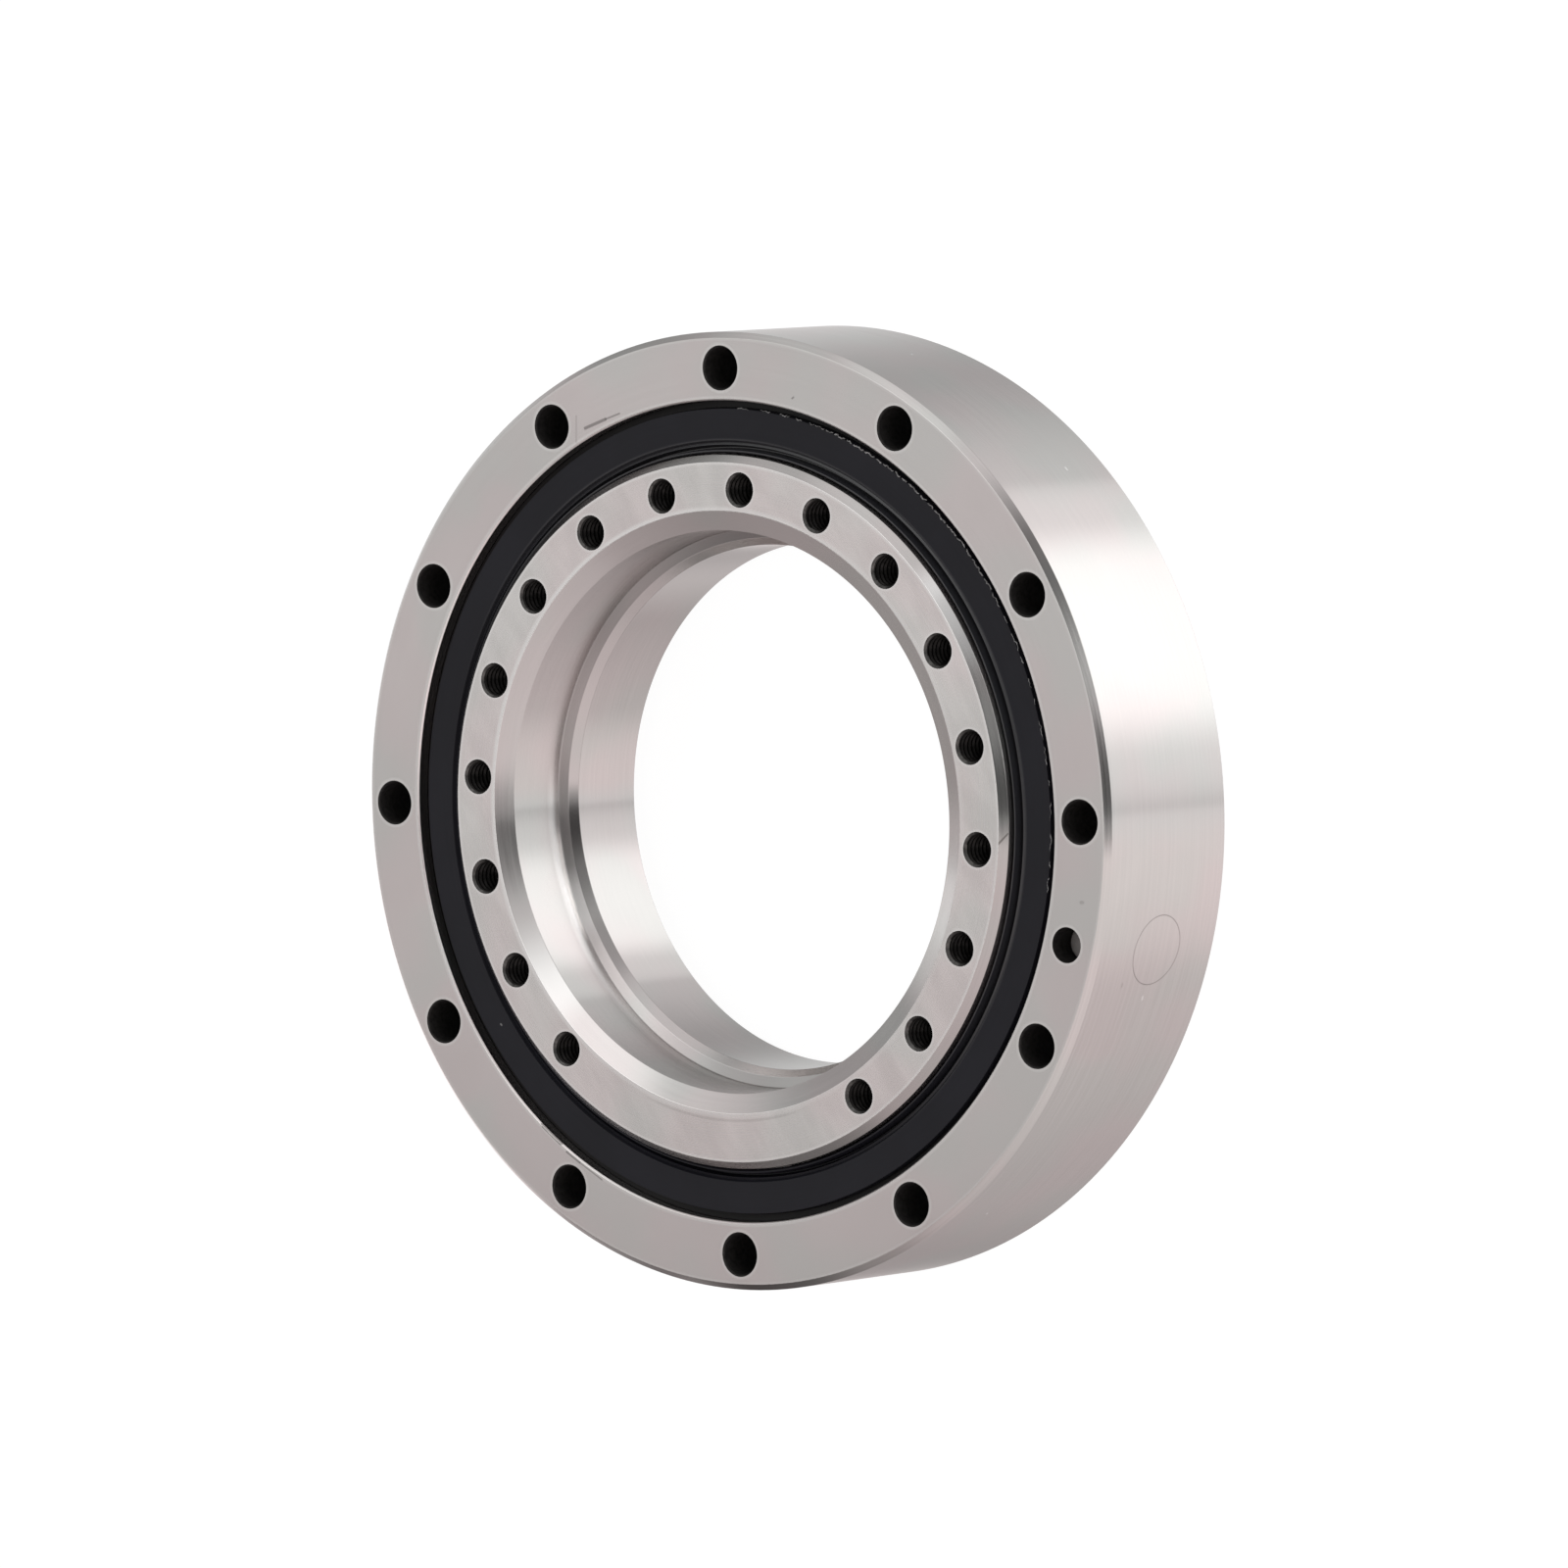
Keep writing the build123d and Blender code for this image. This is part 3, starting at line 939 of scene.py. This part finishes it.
def threadTool(thread):
    # one turn of the groove's section, wound up by a Screw modifier, then cut level and capped
    pitch, crest, root = thread["pitch"], thread["crest"], thread["root"]
    start = thread["bottom"] - 2 * pitch
    section = [(crest, 0), (crest, 0.13), (root, 0.285), (root, 0.345), (crest, 0.5)]
    tool = drawLine("threadTool", [(r, 0, start + z) for r, z in section])
    bpy.ops.object.mode_set(mode="OBJECT")
    screw = tool.modifiers.new("screw", "SCREW")
    screw.screw_offset = pitch * mm
    screw.iterations = int((thread["top"] - start) / pitch) + 2
    screw.steps = screw.render_steps = 32
    applyAll(tool)
    bpy.ops.object.mode_set(mode="EDIT")
    bpy.ops.mesh.select_all(action="SELECT")
    bpy.ops.mesh.remove_doubles(threshold=0.002 * mm)
    for height, side in ((thread["bottom"], 1), (thread["top"], -1)):
        bpy.ops.mesh.select_all(action="SELECT")
        bpy.ops.mesh.bisect(
            plane_co=(0, 0, height * mm),
            plane_no=(0, 0, side),
            use_fill=True,
            clear_inner=True,
            threshold=0.00001 * mm,
        )
    bpy.ops.mesh.select_all(action="SELECT")
    bpy.ops.mesh.normals_make_consistent(inside=False)
    bpy.ops.object.mode_set(mode="OBJECT")
    return tool


def makeInnerRing(size):
    ring = turn("innerRing", innerOutline(size), size["steps"], size["softEdge"])
    step = 360 / layout["tapPlaces"]
    for tool in (turn("drill", drillOutline(size), 32), threadTool(size["thread"])):
        tools = [copyTo(tool, layout["tapCircle"], layout["tapTurn"] - step * k) for k in layout["taps"]]
        bpy.data.objects.remove(tool)
        cut(ring, joined(tools, "tools"))
    return ring


innerPaint = {
    "taps": (25.3, 28.7),  # the radii between which they stand
    "tapBottom": 9,  # they are all above this height
    "threadTop": 16.6,  # and only their mouths above this one
    "front": 16.7,  # level faces above this height
    "shoulder": (22.62, 23.6),
    "shoulderHeight": (10.08, 10.45),
    "bore": 25.2,  # walls inside this radius
}


def innerRingPaint(face):
    paint = innerPaint
    spot, slope = face.center / mm, face.normal.z
    reach = math.hypot(spot.x, spot.y)
    if spot.z > paint["tapBottom"] and between(reach, paint["taps"]) and slope < levelFace:
        return threadScaleAndShade if spot.z < paint["threadTop"] else tapMouth
    if spot.z > paint["front"] and slope > levelFace:
        return innerFace
    if between(reach, paint["shoulder"]) and between(spot.z, paint["shoulderHeight"]):
        return shoulderSteel
    if between(abs(slope), (wallFace, levelFace)):
        return innerChamfer
    return boreSteel if reach < paint["bore"] else turnedSteel


innerRing = makeInnerRing(innerRingSize)
paintFaces(
    innerRing,
    [innerFace, turnedSteel, boreSteel, threadScaleAndShade, innerChamfer, tapMouth, shoulderSteel],
    innerRingPaint,
)
smoothTurned(innerRing)
finishPiece(innerRing, "inner_ring", ["inner_ring"])


# seals

sealSize = {
    # radius, and height above the seat
    "outline": [
        (31.9, 0), (34.27, 0),  # foot
        (34.27, 1.3), (33.7, 1.3), (33.6, 2.0),  # moulded step along the outer edge
        (30.97, 2.0), (30.78, 1.72), (30.6, 1.83),  # end of the flat band, valley, first lip
        (30.43, 1.2), (30.29, 1.2),  # groove
        (30.17, 2.3), (30.03, 2.3),  # second lip
        (29.88, 1.95), (29.88, 1.75), (30.15, 1.1),  # nose close to the inner ring's wall
        (30.6, 0.5), (31.2, 0.5),  # underside over the gap between the rings
    ],
    "seats": {
        "frontSeal": (layout["frontSeat"], 1, "front_seal"),
        "rearSeal": (layout["backSeat"], -1, "rear_seal"),
    },
    "steps": 256,
    "softEdge": 0.04,
    "rubber": (0.0084, 0.0085, 0.0124),
    # painted shade in the moulded step's recess
    "stepShadeColour": (0.0015, 0.0015, 0.0015),
    # painted light: the lips are painted lighter on one side
    "lips": (0.024, 0.024, 0.028),
    "wornAndLitAngle": -45,
}


def makeRubber(name, size):
    made, tree, shader = newMaterial(name)
    where = turnedCoordinates(tree)
    bloom = noise(tree, where["place"], 90, 3, 0.6)
    paler = tuple(c * 1.35 for c in size["rubber"])
    mixed = mixColour(tree, fade(tree, bloom, 0.35, 0.7), colour(size["rubber"]), colour(paler))
    mixed = addMarks(tree, where, mixed, wear["seal"])
    # painted shade: the moulded step is darkened almost to black
    stepShade = fade(tree, where["radius"], 33.6 * mm, 33.75 * mm)
    mixed = mixColour(tree, stepShade, mixed, colour(size["stepShadeColour"]))
    # the lips are smoother than the flat band and painted lighter as painted light, most so on one side
    wornAndLit = fade(tree, towards(tree, where, size["wornAndLitAngle"]), -0.5, 0.4)
    lip = calc(tree, "MULTIPLY", fade(tree, where["radius"], 31.2 * mm, 30.9 * mm), wornAndLit)
    mixed = mixColour(tree, lip, mixed, colour(size["lips"]))
    tree.links.new(mixed, shader.inputs["Base Color"])
    lines = grooves(tree, where, 10, 0.3)
    rough = calc(tree, "SUBTRACT", fade(tree, lines, 0.2, 0.8, 0.40, 0.52), calc(tree, "MULTIPLY", lip, 0.14))
    tree.links.new(rough, shader.inputs["Roughness"])
    shine = calc(tree, "ADD", calc(tree, "MULTIPLY", lip, 0.45), 0.27)
    tree.links.new(shine, shader.inputs["Specular IOR Level"])
    grit = calc(tree, "MULTIPLY", noise(tree, where["place"], 3500, 2, 0.5), 0.6)
    addBump(tree, shader, calc(tree, "ADD", lines, grit), 0.0015)
    return made


rubber = makeRubber("sealRubber", sealSize)
for name, (seat, facing, node) in sealSize["seats"].items():
    outline = [(r, seat + facing * z) for r, z in sealSize["outline"]]
    seal = turn(name, outline, sealSize["steps"], sealSize["softEdge"])
    paintFaces(seal, [rubber], lambda face: rubber)
    smoothTurned(seal)
    finishPiece(seal, "outer_ring", [node])


# ragged line of flash left where the seal's mould parted

flashSize = {
    "reach": 33.63,
    "height": 15.5,
    "thickness": 0.08,
    "start": -6.0,
    "end": -104,
    "thickest": (-60, -24),
    "mostTorn": (-62, -20),  # the breaks between its stretches are shortest here
    # the flash's grey colours are painted highlights on the black rubber
    "rubber": (0.4, 0.4, 0.4),
    "flashDimHighlight": (0.12, 0.12, 0.12),
}


def makeFlash(size):
    line = bpy.data.curves.new("sealFlash", "CURVE")
    line.dimensions = "3D"
    line.bevel_depth = size["thickness"] * mm
    line.bevel_resolution = 1
    angle = size["start"]
    while angle > size["end"]:
        count = random.randint(6, 18)
        thick = 0.9 if between(angle, size["thickest"]) else 0.5
        spline = line.splines.new("POLY")
        spline.points.add(count - 1)
        wander = random.uniform(-0.04, 0.04)
        for i, point in enumerate(spline.points):
            wander = wander * 0.5 + random.uniform(-0.07, 0.07)
            height = size["height"] + random.uniform(-0.03, 0.01)
            point.co = (*(Vector(onTurned(size["reach"] + wander, angle, height)) * mm), 1)
            ends = 0.5 if i in (0, count - 1) else 1
            point.radius = thick * random.uniform(0.45, 1.15) * ends
            angle -= random.uniform(0.11, 0.24)
        torn = between(angle, size["mostTorn"])
        angle -= random.uniform(0.02, 0.25) if torn else random.uniform(0.5, 2.2)
    piece = bpy.data.objects.new("sealFlash", line)
    bpy.context.scene.collection.objects.link(piece)
    pick(piece)
    bpy.ops.object.convert(target="MESH")
    return bpy.context.active_object


def makeFlashHighlight(size):
    # the black rubber is painted grey as the highlight along its ragged edge
    made, tree, shader = newMaterial("flashPaintedHighlight")
    torn = fade(tree, noise(tree, objectPlace(tree), 2600, 3, 0.7), 0.35, 0.65)
    mixed = mixColour(tree, torn, colour(size["flashDimHighlight"]), colour(size["rubber"]))
    tree.links.new(mixed, shader.inputs["Base Color"])
    shader.inputs["Roughness"].default_value = 0.5
    return made


sealFlash = makeFlash(flashSize)
sealFlash.data.materials.append(makeFlashHighlight(flashSize))
finishPiece(sealFlash, "outer_ring")


# rollers and spacers: the CAD solids, with their finish

def makeSpacerPlastic(name, shade):
    made, tree, shader = newMaterial(name)
    mottle = noise(tree, objectPlace(tree), 900, 3, 0.6)
    darker = tuple(c * 0.9 for c in shade)
    mixed = mixColour(tree, fade(tree, mottle, 0.3, 0.7), colour(shade), colour(darker))
    tree.links.new(mixed, shader.inputs["Base Color"])
    tree.links.new(fade(tree, mottle, 0.2, 0.8, 0.4, 0.55), shader.inputs["Roughness"])
    addBump(tree, shader, mottle, 0.01)
    return made


spacerPlastic = makeSpacerPlastic("spacerPlastic", (0.86, 0.83, 0.74))
for nodeName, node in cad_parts.items():
    if nodeName.startswith("roller") or nodeName == "spacers":
        node.data.materials.clear()
        node.data.materials.append(spacerPlastic if nodeName == "spacers" else rollerSteel)
print("rollers and spacers painted")


# light: a studio table, a darker room in front of it, and soft panels at both sides and overhead

studio = {
    # the photograph's own directions, because the bearing lies flat here and stood on edge there
    "up": (0.9955, -0.0949, 0.0005),
    "right": (-0.0731, -0.77, -0.6339),
    "near": (-0.0605, -0.631, 0.7734),
    # panels: azimuth from the camera towards the right, height, half width, edge, strength
    "table": {
        "base": 0.721,
        "slope": (0.149, 0.134, 0.210),  # along up, right and near
        "panels": [
            (-112, -62, 7, 20, -0.22),
            (-136, -42, 8, 14, -0.16),
            (-80, -17, 9, 7, -0.60),
            (-82, -2, 6, 8, 0.46),
            (-165, -6, 5, 14, 0.61),
            (-160, -26, 7, 11, 0.26),
            (104, -10, 5, 14, 0.20),
            (13, 0, 3, 6, -0.89),
            (-37, 0, 3, 6, -0.52),
            (-120, -1, 2, 5, 0.42),
            (177, -22, 5, 14, -0.08),
            (180, -7, 5, 7, 0.36),
        ],
    },
    "room": {
        "base": 0.491,
        "slope": (0, 0, 0),
        "panels": [
            (8, 2, 14, 34, -0.12),
            (11, 4, 6, 9, -0.29),
            (-37, 0, 3, 8, -0.45),
            (-115, 60, 8, 12, 0.18),
            (-143, 28, 6, 14, -0.08),
            (111, 24, 11, 8, 0.62),
            (112, 24, 15, 34, 0.35),
            (111, 24, 24, 2, 0.27),
            (-56, 24, 9, 8, 0.59),
            (-60, 26, 12, 26, 0.50),
            (-25, 72, 14, 14, 0.39),
            (-165, 0, 14, 22, 0.31),
            (-82, 5, 7, 12, -0.08),
            (-119, 2, 3, 6, 0.65),
            (38, 26, 13, 8, 1.9),
        ],
    },
    "darkest": 0.05,
    "horizon": (-0.031, -0.021),  # the table ends and the room starts between these heights
    "tableTint": (1.055, 0.983, 0.98),  # of the table near the bearing
    "tintFade": (-0.03, -0.14),  # it is full below the second height and gone at the first
}


def makeWorld(light):
    world = bpy.data.worlds.new("studio")
    bpy.context.scene.world = world
    world.use_nodes = True
    tree = world.node_tree
    tree.nodes.clear()
    way = addNode(tree, "ShaderNodeTexCoord").outputs["Generated"]
    up, right, near = (Vector(light[key]).normalized() for key in ("up", "right", "near"))

    def panelGlow(azimuth, height, half, edge, strength):
        a, e = math.radians(azimuth), math.radians(height)
        level = near * math.cos(a) + right * math.sin(a)
        along = vectorCalc(tree, "DOT_PRODUCT", way, level * math.cos(e) + up * math.sin(e))
        return fade(
            tree, along, math.cos(math.radians(half + edge)), math.cos(math.radians(half)), 0.0, strength
        )

    halves = []
    for half in (light["table"], light["room"]):
        slope = sum((axis * share for axis, share in zip((up, right, near), half["slope"])), Vector())
        value = calc(tree, "ADD", vectorCalc(tree, "DOT_PRODUCT", way, slope), half["base"])
        for panel in half["panels"]:
            value = calc(tree, "ADD", value, panelGlow(*panel))
        halves.append(grey(tree, calc(tree, "MAXIMUM", value, light["darkest"])))
    lift = vectorCalc(tree, "DOT_PRODUCT", way, up)
    tinted = fade(tree, lift, *light["tintFade"])
    tint = mixColour(tree, tinted, colour((1, 1, 1)), colour(light["tableTint"]))
    halves[0] = vectorCalc(tree, "MULTIPLY", halves[0], tint)
    seenColour = mixColour(tree, fade(tree, lift, *light["horizon"]), *halves)
    lit = addNode(tree, "ShaderNodeBackground", {"Color": seenColour, "Strength": 1.0})
    white = addNode(tree, "ShaderNodeBackground", {"Color": colour((1, 1, 1)), "Strength": 1.0})
    seen = addNode(tree, "ShaderNodeLightPath").outputs["Is Camera Ray"]
    mixed = addNode(tree, "ShaderNodeMixShader", {0: seen, 1: lit.outputs[0], 2: white.outputs[0]})
    out = addNode(tree, "ShaderNodeOutputWorld")
    tree.links.new(mixed.outputs[0], out.inputs["Surface"])


makeWorld(studio)

floorLook = {"size": 1600, "shade": 0.8, "shown": 0.16, "glow": 0.93}


def makeFloor(look):
    bpy.ops.object.select_all(action="DESELECT")
    bpy.ops.mesh.primitive_plane_add(size=look["size"] * mm)
    floor = bpy.context.active_object
    floor.name = "floor"
    made = bpy.data.materials.new("floor")
    made.use_nodes = True
    tree = made.node_tree
    tree.nodes.clear()
    plain = addNode(tree, "ShaderNodeBsdfDiffuse", {"Color": colour((look["shade"],) * 3)})
    shown = addNode(tree, "ShaderNodeBsdfDiffuse", {"Color": colour((look["shown"],) * 3)})
    glow = addNode(tree, "ShaderNodeEmission", {"Color": colour((1, 1, 1)), "Strength": look["glow"]})
    white = addNode(tree, "ShaderNodeAddShader", {0: shown.outputs[0], 1: glow.outputs[0]})
    seen = addNode(tree, "ShaderNodeLightPath").outputs["Is Camera Ray"]
    mixed = addNode(tree, "ShaderNodeMixShader", {0: seen, 1: plain.outputs[0], 2: white.outputs[0]})
    # from below the floor is clear, so that the back of the bearing can be looked at
    clear = addNode(tree, "ShaderNodeBsdfTransparent")
    under = addNode(tree, "ShaderNodeNewGeometry").outputs["Backfacing"]
    final = addNode(tree, "ShaderNodeMixShader", {0: under, 1: mixed.outputs[0], 2: clear.outputs[0]})
    out = addNode(tree, "ShaderNodeOutputMaterial")
    tree.links.new(final.outputs[0], out.inputs["Surface"])
    floor.data.materials.append(made)
    floor.visible_glossy = False


makeFloor(floorLook)


# camera

cameraPlace = {
    "place": (21.26288, -710.34690, 869.33642),
    "right": (-0.07307803, -0.76998817, -0.63385947),
    "up": (0.99717547, -0.04536098, -0.05986216),
    "lens": 306.12,
}


def makeCamera(view):
    data = bpy.data.cameras.new("camera")
    data.lens = view["lens"]
    data.sensor_width = 36
    data.clip_start = 0.05
    data.clip_end = 20
    camera = bpy.data.objects.new("camera", data)
    bpy.context.scene.collection.objects.link(camera)
    right, up = Vector(view["right"]), Vector(view["up"])
    turned = Matrix((right, up, right.cross(up))).transposed().to_4x4()
    camera.matrix_world = Matrix.Translation(Vector(view["place"]) * mm) @ turned
    bpy.context.scene.camera = camera


makeCamera(cameraPlace)
bpy.context.scene.view_settings.view_transform = "Standard"
print("light, floor and camera ready")
